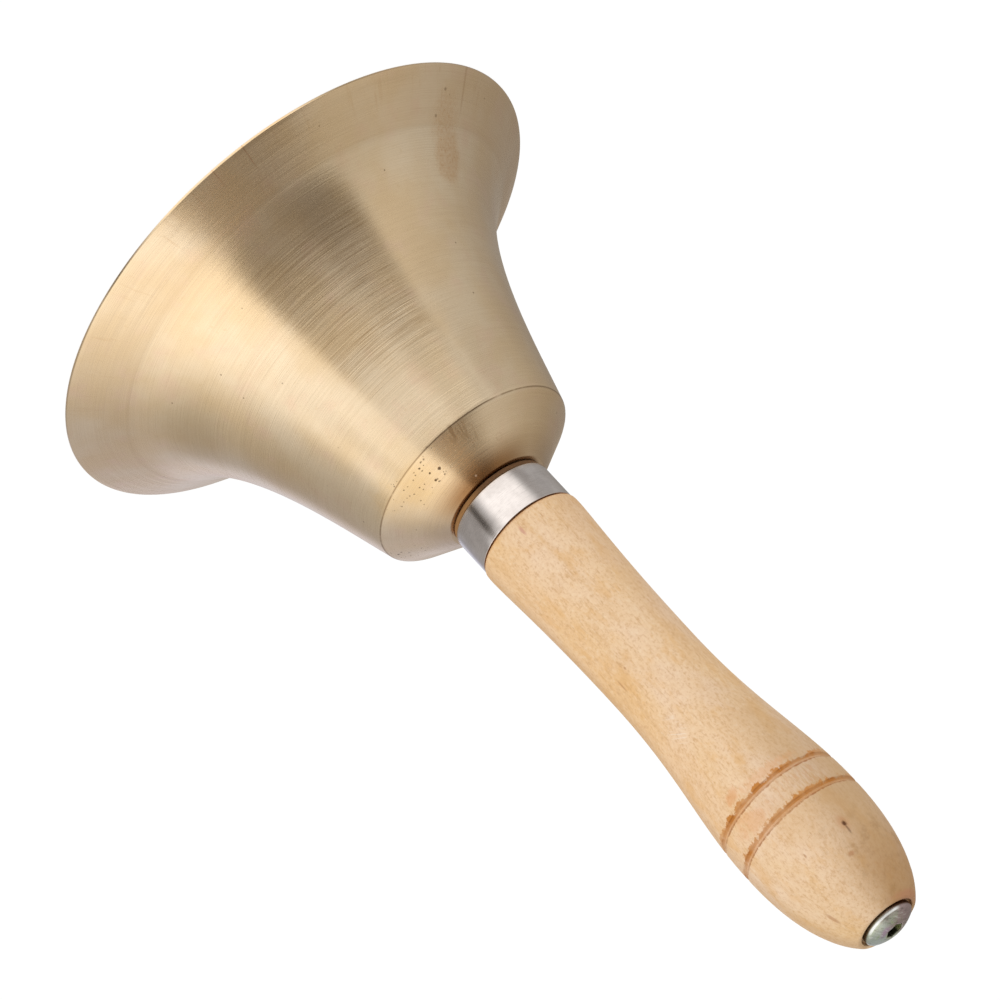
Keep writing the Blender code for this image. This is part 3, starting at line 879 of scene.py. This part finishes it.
def bell_shell(outside, inside):
    slope = (MOUTH_RADIUS - FLARE_RADIUS) / (FLARE_HEIGHT - LIP_LAND)
    lip = (MOUTH_RADIUS, LIP_LAND)
    crease = (FLARE_RADIUS, FLARE_HEIGHT)
    shoulder = (SHOULDER_RADIUS, SHOULDER_HEIGHT)
    seat = (SEAT_RADIUS, SEAT_HEIGHT)
    leave = (FLARE_RADIUS - slope * CURVE_HANDLE_LOW, FLARE_HEIGHT + CURVE_HANDLE_LOW)
    arrive = (SHOULDER_RADIUS + WAIST_SLOPE * CURVE_HANDLE_HIGH, SHOULDER_HEIGHT - CURVE_HANDLE_HIGH)
    curve = bezier(crease, leave, arrive, shoulder, 60)
    coarse = [lip, crease] + bezier(crease, leave, arrive, shoulder, 40) + [seat]
    hollow = inset_line(coarse, WALL)
    hollow[0] = at_height(hollow[0], hollow[1], 0)
    hollow[-1] = at_height(hollow[-2], hollow[-1], CEILING_HEIGHT)
    skin = round_corner((MOUTH_RADIUS, 0), lip, crease, 0.12 * MM)
    skin += straight(skin[-1], crease, 8)
    skin += curve[:-1]
    skin += round_corner(curve[-2], shoulder, seat, 0.18 * MM)
    skin += straight(skin[-1], seat, 8)[:-1]
    bore = BOLT_RADIUS + GAP
    skin += round_corner(skin[-1], seat, (bore, SEAT_HEIGHT), 0.2 * MM)
    outline = round_corner(hollow[0], (MOUTH_RADIUS, 0), lip, 0.12 * MM)
    outline += skin
    outer_count = len(outline)
    outline += [(bore, SEAT_HEIGHT), (bore, CEILING_HEIGHT)] + hollow[::-1]
    slots = [0 if k < outer_count else 1 for k in range(len(outline))]
    slots[-1] = 0
    piece = lathe("bell_body", outline, 256, [outside, inside], slots)
    settle(piece, "bell", "turned_brass", "bell_shell")


def handle_outline():
    def place(at, radius):
        return (radius, FERRULE_TOP + at)

    start = COLLAR_ROUND + GAP
    points = arc(place(start, COLLAR_RADIUS - COLLAR_ROUND), COLLAR_ROUND, -math.pi / 2, 0, 6)
    waist = place(WAIST_AT, WAIST_RADIUS)
    belly = place(BELLY_AT, BELLY_RADIUS)
    points += bezier(points[-1], place(NECK_SWELL_AT, NECK_SWELL_RADIUS),
                     place(WAIST_AT - NECK_REACH, WAIST_RADIUS), waist, 60)
    points += bezier(waist, place(WAIST_AT + WAIST_REACH, WAIST_RADIUS),
                     place(BELLY_AT - BELLY_REACH, BELLY_RADIUS), belly, 110)
    steps = 60
    length = HANDLE_TOP - FERRULE_TOP - BELLY_AT
    for i in range(1, steps + 1):
        along = length * i / steps
        radius = BELLY_RADIUS * math.sqrt(1 - (along / EGG_LENGTH) ** EGG_POWER)
        points.append(place(BELLY_AT + along, radius))
    return points


def groove_depth(height, angle):
    """How deep the two decorative grooves cut at a height, with a slightly torn lower edge."""
    depth = 0.0
    for at in GROOVES_AT:
        center = FERRULE_TOP + at
        tear = 0.12 * MM * noise.noise((9 * math.cos(angle), 9 * math.sin(angle), at * 900))
        off = abs(height - center - tear) / (GROOVE_WIDTH / 2)
        if off < 1:
            depth = max(depth, GROOVE_DEPTH * (1 - off * off))
    return depth


def handle(wood):
    outer = handle_outline()
    fine = [outer[0]]
    for a, b in zip(outer, outer[1:]):
        near = any(abs(b[1] - FERRULE_TOP - at) < 1.6 * MM for at in GROOVES_AT)
        fine += straight(a, b, 4 if near else 1)
    bore = BOLT_RADIUS + GAP
    tenon = high("ferrule")[0] - FERRULE_WALL - GAP
    floor = HANDLE_TOP - RECESS_DEPTH
    outline = [(tenon, FERRULE_BASE), (tenon, FERRULE_TOP + GAP)]
    outline += fine[:-1]
    outline += round_corner(fine[-2], fine[-1], (RECESS_RADIUS, HANDLE_TOP), 0.3 * MM)
    outline += round_corner(fine[-1], (RECESS_RADIUS, HANDLE_TOP), (RECESS_RADIUS, floor), 0.3 * MM)
    outline += [(RECESS_RADIUS, floor), (BARREL_RADIUS + GAP, floor)]
    outline += [(BARREL_RADIUS + GAP, floor - BARREL_LENGTH), (bore, floor - BARREL_LENGTH)]
    outline += [(bore, FERRULE_BASE)]

    def shape(r, z, a):
        if r < tenon + GAP or z <= FERRULE_TOP + GAP:
            return r, z
        around = (math.cos(a), math.sin(a))
        wave = noise.noise((around[0] * 1.3, around[1] * 1.3, z * 45)) * 0.04 * MM
        return r - groove_depth(z, a) - 0.04 * MM + wave, z

    piece = lathe("handle_turned", outline, 128, [wood], shape=shape)
    settle(piece, "bell", "turned_hardwood", "handle")


def ring(name, inner, outer, bottom, top, edge, segments, materials, turn=2 * math.pi):
    corners = [(inner, bottom), (outer, bottom), (outer, top), (inner, top)]
    outline = []
    for k in range(4):
        outline += round_corner(corners[k - 1], corners[k], corners[(k + 1) % 4], edge)
    return lathe(name, outline, segments, materials, turn=turn)


def ferrule(steel):
    outer = high("ferrule")[0]
    piece = ring("ferrule_band", outer - FERRULE_WALL, outer, FERRULE_BASE, FERRULE_TOP, 0.18 * MM, 160,
                 [steel])
    settle(piece, "bell", "polished_steel", "ferrule")


def gasket(hide):
    base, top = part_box("crown_gasket")
    piece = ring("gasket_disc", BOLT_RADIUS + GAP, top[0], base[2], top[2], 0.1 * MM, 120, [hide])
    settle(piece, "bell", "leather", "crown_gasket")


def hex_radius(angle, flats):
    """Distance from the centre of a hexagon to its side at an angle."""
    turn = (angle % (math.pi / 3)) - math.pi / 6
    return flats / 2 / math.cos(turn)


def cap_nut(plating):
    """Domed head on a threaded barrel, with a hexagon socket."""
    floor = HANDLE_TOP - RECESS_DEPTH + GAP
    base = floor - BARREL_LENGTH
    top = HANDLE_TOP + HEAD_PROUD + HEAD_DOME
    rim = HANDLE_TOP + HEAD_PROUD * 0.55
    rise = top - rim
    dome_radius = (HEAD_RADIUS ** 2 + rise ** 2) / (2 * rise)
    edge = 0.3 * MM
    bore = BOLT_RADIUS + GAP

    def dome(r):
        return top - dome_radius + math.sqrt(dome_radius ** 2 - r * r)

    rows = [(bore, base), (BARREL_RADIUS, base), (BARREL_RADIUS, floor)]
    rows += round_corner((BARREL_RADIUS, floor), (HEAD_RADIUS, floor), (HEAD_RADIUS, rim), edge)
    face_start = HEAD_RADIUS - edge * 1.2
    rows += [(HEAD_RADIUS, rim - edge * 1.2)]
    rows += [(HEAD_RADIUS - edge * 0.12, rim - edge * 0.6), (HEAD_RADIUS - edge * 0.5, rim - edge * 0.1)]
    rows += [(face_start, dome(face_start))]
    face_steps = 8
    chamfer = 0.12 * MM
    mouth = SOCKET_FLATS / 2 + chamfer * 1.6
    rows += [(face_start + (mouth - face_start) * i / face_steps, None) for i in range(1, face_steps + 1)]
    segments = 144
    lines = []
    for i in range(segments):
        a = 2 * math.pi * i / segments
        hexagon = hex_radius(a, SOCKET_FLATS)
        line = []
        for r, z in rows:
            if z is None:
                blend = (face_start - r) / (face_start - mouth)
                r += (hexagon - SOCKET_FLATS / 2) * blend ** 2
                z = dome(r)
            line.append((r, z))
        outer = line[-1][0]
        line.append((outer - chamfer * 0.5, line[-1][1] - chamfer * 0.12))
        line.append((hexagon + chamfer * 0.35, line[-1][1] - chamfer * 0.5))
        line.append((hexagon, line[-1][1] - chamfer * 0.9))
        line.append((hexagon, top - SOCKET_DEPTH))
        line.append((bore * 0.62, top - SOCKET_DEPTH - 0.1 * MM))
        line.append((bore * 0.62, top - SOCKET_DEPTH - 0.6 * MM))
        line.append((bore, top - SOCKET_DEPTH - 0.8 * MM))
        lines.append(line)
    piece = around_z("cap_nut_head", lines, [plating])
    settle(piece, "bell", "zinc_plate", "cap_nut")


def hex_nut(name, flats, bottom, top, bore, materials):
    """A hexagon nut with chamfered corners and a chamfered bore."""
    face = flats * 0.47
    slope = math.tan(math.radians(30))
    lead = 0.3 * MM
    segments = 96
    lines = []
    for i in range(segments):
        a = 2 * math.pi * i / segments
        side = hex_radius(a + math.pi / 6, flats)
        drop = max(side - face, 0) * slope
        lines.append([(bore, bottom + lead), (bore + lead, bottom), (face, bottom), (side, bottom + drop),
                      (side, top - drop), (face, top), (bore + lead, top), (bore, top - lead)])
    return around_z(name, lines, materials)


def eye_drop(size, bend):
    return math.sqrt(size * size + 2 * size * bend)


def eye_path(start, end, size, bend, down, pitch, thread_to):
    """Shank on the axis, bend and open eye; points are close together where the thread is."""
    drop = eye_drop(size, bend)
    start_angle = math.atan2(bend, drop)
    points = [(0, start)]
    direction = -1 if end < start else 1
    here = start
    while (thread_to - here) * direction > 0:
        here += direction * pitch / 10
        points.append((0, here))
    if abs(end - here) > 1e-5:
        points.append((0, end))
    for x, z in arc((bend, 0), bend, math.pi, math.pi * 1.5 - start_angle, 14)[1:]:
        points.append((x, end + down * z))
    turn = 2 * math.pi - EYE_END - start_angle
    center = end - down * drop
    steps = 90
    for i in range(1, steps + 1):
        a = start_angle + turn * i / steps
        points.append((size * math.sin(a), center + down * size * math.cos(a)))
    return [(x, 0, z) for x, z in points]


def threaded(radius, pitch, length, depth):
    """Bar surface whose first stretch carries a helical thread."""
    def surface(along, angle):
        if along > length:
            fade = min((along - length) / pitch, 1.0)
            return radius - depth * 0.3 * (1 - fade)
        turn = (along / pitch + angle / (2 * math.pi)) % 1.0
        cut = min(abs(turn - 0.5) * 2.4, 1.0)
        lead = min(along / pitch, 1.0)
        return radius - depth * (cut * lead + (1 - lead))
    return surface


def eye_bolt(metal):
    shank_end = low("crown_nut")[2] - 2 * GAP
    start = CEILING_HEIGHT + 0.7 * MM
    thread_to = shank_end + 0.6 * MM
    path = eye_path(start, shank_end, BOLT_EYE, BOLT_BEND, 1, BOLT_PITCH, thread_to)
    surface = threaded(BOLT_RADIUS, BOLT_PITCH, start - thread_to, 0.32 * MM)
    piece = sweep("eye_bolt_lower", path, surface, 40, [metal])
    settle(piece, "bell", "zinc_plate", "eye_bolt")
    core = BOLT_RADIUS - 0.35 * MM
    outline = [(0, start), (core, start), (core, BOLT_TOP - 0.4 * MM),
               (core - 0.45 * MM, BOLT_TOP), (0, BOLT_TOP)]
    shank = lathe("eye_bolt_shank", outline, 32, [metal])
    settle(shank, "bell", "zinc_plate")


def washers(metal):
    bore = BOLT_RADIUS + GAP
    base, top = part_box("crown_washer")
    plain = ring("washer_plain", bore, top[0], base[2], top[2], 0.2 * MM, 96, [metal])
    settle(plain, "bell", "zinc_plate", "crown_washer")
    base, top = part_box("lock_washer")
    split = ring("washer_split", bore, top[1], base[2], top[2], 0.15 * MM, 90, [metal], math.radians(344))
    settle(split, "bell", "zinc_plate", "lock_washer")
    base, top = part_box("crown_nut")
    nut = hex_nut("crown_nut_hex", CROWN_NUT_FLATS, base[2], top[2], BOLT_RADIUS + GAP / 2, [metal])
    settle(nut, "bell", "zinc_plate", "crown_nut")


def link(metal):
    top = high("clapper_link")[2] - LINK_WIRE
    turn_radius = LINK_HALF_WIDTH + LINK_WIRE
    length = LINK_INNER_LENGTH - 2 * LINK_HALF_WIDTH
    path = arc((0, top - turn_radius), turn_radius, 0, math.pi, 40)
    path += straight(path[-1], (-turn_radius, top - turn_radius - length), 12)[:-1]
    path += arc((0, top - turn_radius - length), turn_radius, math.pi, 2 * math.pi, 40)
    path += straight(path[-1], path[0], 12)[:-1]
    joint_at = math.pi * turn_radius + length / 2

    def surface(along, angle):
        return LINK_WIRE - 0.12 * MM * math.exp(-((along - joint_at) / (0.15 * MM)) ** 2)

    piece = sweep("link_oval", [(0, y, z) for y, z in path], surface, 32, [metal], closed=True)
    settle(piece, "link", "zinc_plate", "clapper_link")


def clapper(metal, plated):
    top = high("clapper_rod")[2]
    eye_center = top - CLAPPER_WIRE - CLAPPER_EYE
    shank_end = eye_center - eye_drop(CLAPPER_EYE, CLAPPER_BEND)
    start = low("clapper_rod")[2]
    thread_to = high("clapper_nut")[2] + 2.2 * MM
    path = eye_path(start, shank_end, CLAPPER_EYE, CLAPPER_BEND, -1, CLAPPER_PITCH, thread_to)
    surface = threaded(CLAPPER_WIRE, CLAPPER_PITCH, thread_to - start, 0.2 * MM)
    rod = sweep("clapper_rod_bent", path, surface, 32, [plated])
    settle(rod, "clapper", "clapper_steel", "clapper_rod")

    center = low("clapper_ball")[2] + BALL_RADIUS
    ball_top = high("clapper_ball")[2]
    hole = CLAPPER_WIRE + GAP
    flat = math.acos(BALL_HOLE_FLAT / BALL_RADIUS)
    outline = arc((0, center), BALL_RADIUS, -math.pi / 2, flat, 72)
    outline[0] = (0, outline[0][1])
    outline += [(hole + 0.3 * MM, ball_top), (hole, ball_top - 0.3 * MM)]
    outline += [(hole, ball_top - BALL_HOLE_DEPTH), (0, ball_top - BALL_HOLE_DEPTH)]
    ball = lathe("clapper_ball_turned", outline, 128, [metal])
    settle(ball, "clapper", "clapper_steel", "clapper_ball")

    base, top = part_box("clapper_nut")
    nut = hex_nut("clapper_nut_hex", CLAPPER_NUT_FLATS, base[2], top[2], CLAPPER_WIRE + GAP / 2, [plated])
    settle(nut, "clapper", "clapper_steel", "clapper_nut")


# studio

def add_floor():
    """A pale glowing sheet, clear when seen from below."""
    size = 12.0
    level = -0.2 * MM
    corners = [(-size, -size, level), (size, -size, level), (size, size, level), (-size, size, level)]
    mesh = bpy.data.meshes.new("floor")
    mesh.from_pydata(corners, [], [(0, 1, 2, 3)])
    material = bpy.data.materials.new("floor")
    material.use_nodes = True
    tree = material.node_tree
    tree.nodes.clear()
    output = tree.nodes.new("ShaderNodeOutputMaterial")
    glow = tree.nodes.new("ShaderNodeEmission")
    glow.inputs["Strength"].default_value = 0.9
    paper = tree.nodes.new("ShaderNodeBsdfDiffuse")
    paper.inputs["Color"].default_value = (0.18, 0.18, 0.18, 1.0)
    both = tree.nodes.new("ShaderNodeAddShader")
    tree.links.new(glow.outputs[0], both.inputs[0])
    tree.links.new(paper.outputs[0], both.inputs[1])
    clear = tree.nodes.new("ShaderNodeBsdfTransparent")
    faces = tree.nodes.new("ShaderNodeNewGeometry")
    choose = tree.nodes.new("ShaderNodeMixShader")
    tree.links.new(faces.outputs["Backfacing"], choose.inputs[0])
    tree.links.new(both.outputs[0], choose.inputs[1])
    tree.links.new(clear.outputs[0], choose.inputs[2])
    tree.links.new(choose.outputs[0], output.inputs["Surface"])
    mesh.materials.append(material)
    floor = bpy.data.objects.new("floor", mesh)
    bpy.context.collection.objects.link(floor)
    floor.visible_glossy = False


def studio_world():
    """Two soft boxes and a dark ceiling between them, as seen in polished metal, over a pale room."""
    world = bpy.data.worlds.new("studio")
    bpy.context.scene.world = world
    world.use_nodes = True
    world.cycles.sampling_method = "NONE"
    tree = world.node_tree
    tree.nodes.clear()
    output = tree.nodes.new("ShaderNodeOutputWorld")
    background = tree.nodes.new("ShaderNodeBackground")
    tree.links.new(background.outputs[0], output.inputs[0])
    side, back, height = coordinates(tree, "Generated")
    front = back * -1.0
    bearing = side.math("ARCTAN2", front) * math.degrees(1)

    big_box = (side - front * 0.21 + height.step(0.65, 0.95) * 0.05).step(0.15, 0.2)
    reach = ((side - 0.45) * (side - 0.45) + (front - 0.4) * (front - 0.4)).math("SQRT")
    reach = reach - (height - 0.3) * 0.3
    big_light = reach.ramp((0.0, 1.3), (0.3, 1.22), (0.53, 0.98), (0.73, 0.75), (0.92, 0.55),
                           (1.1, 0.49), (1.3, 0.54), (1.6, 0.48))
    fill_box = (front + side * 0.8).step(-0.19, -0.25)
    fill_light = front.ramp((-1.0, 0.3), (-0.6, 0.44), (0.0, 0.62), (0.4, 0.7), (1.0, 0.7))
    ceiling = height.ramp((0.0, 0.7), (0.15, 0.62), (0.3, 0.5), (0.5, 0.36), (0.72, 0.25),
                          (0.85, 0.25), (1.0, 0.35))
    ceiling = ceiling * (1.0 - bearing.band(-66.0, -26.0, 10.0) * 0.28)
    lit = (fill_light * fill_box).most(big_light * big_box)
    upper = ceiling * (1.0 - big_box.most(fill_box)) + lit

    front_floor = bearing.band(-58.0, 30.0, 14.0)
    slot = bearing.band(46.0, 60.0, 3.0)
    horizon = bearing.band(34.0, 74.0, 10.0) * height.step(-0.36, -0.16)
    seam = abs(bearing).step(180.0, 168.0)
    back_floor = bearing.step(138.0, 162.0) * seam
    far_left = bearing.step(-130.0, -158.0) * seam
    left_wall = bearing.band(-122.0, -86.0, 10.0)
    lower = 0.4 + front_floor * 0.92 - slot * 0.32 + back_floor * 0.34 - far_left * 0.08
    lower = lower + horizon * 0.82 + left_wall * 0.07
    above = height.step(-0.1, 0.03)
    gloss = lower * (1.0 - above) + upper * above

    soft = 0.78 + front * 0.26 + side * 0.16 - height * 0.1
    light = tree.nodes.new("ShaderNodeLightPath")
    glossy = Field(light.outputs["Is Glossy Ray"])
    camera = Field(light.outputs["Is Camera Ray"])
    cool = bearing.step(110.0, 160.0) * seam
    tint = mix(cool, (1.0, 1.0, 1.0), (0.96, 0.97, 1.12))
    tint = mix(gloss.step(0.5, 0.15), tint, (1.0, 0.9, 0.8))
    shine = mix(1.0, vector(gloss, gloss, gloss), tint, "MULTIPLY")
    seen = mix(glossy, vector(soft, soft, soft), shine)
    seen = mix(camera, seen, (1.0, 1.0, 1.0))
    plug(background.inputs["Color"], seen)
    plug(background.inputs["Strength"], 1.0)


def add_camera():
    data = bpy.data.cameras.new("camera")
    data.lens = VIEW_LENS
    data.sensor_width = 36.0
    data.clip_end = 100.0
    camera = bpy.data.objects.new("camera", data)
    bpy.context.collection.objects.link(camera)
    camera.matrix_world = (
        Matrix.Translation((0, 0, AIM_HEIGHT))
        @ Matrix.Rotation(math.pi / 2 - VIEW_ELEVATION, 4, "X")
        @ Matrix.Rotation(VIEW_ROLL, 4, "Z")
        @ Matrix.Translation((-AIM_RIGHT, AIM_DOWN, VIEW_DISTANCE)))
    bpy.context.scene.camera = camera


def main():
    plated = zinc("zinc_steel", 0.4)
    bell_shell(brass_skin(), brass_inside())
    handle(hardwood())
    ferrule(polished())
    gasket(leather())
    cap_nut(nut_plating())
    eye_bolt(plated)
    washers(plated)
    link(plated)
    clapper(clapper_metal(), plated)
    add_floor()
    studio_world()
    add_camera()
    bpy.context.scene.view_settings.view_transform = "Standard"


main()
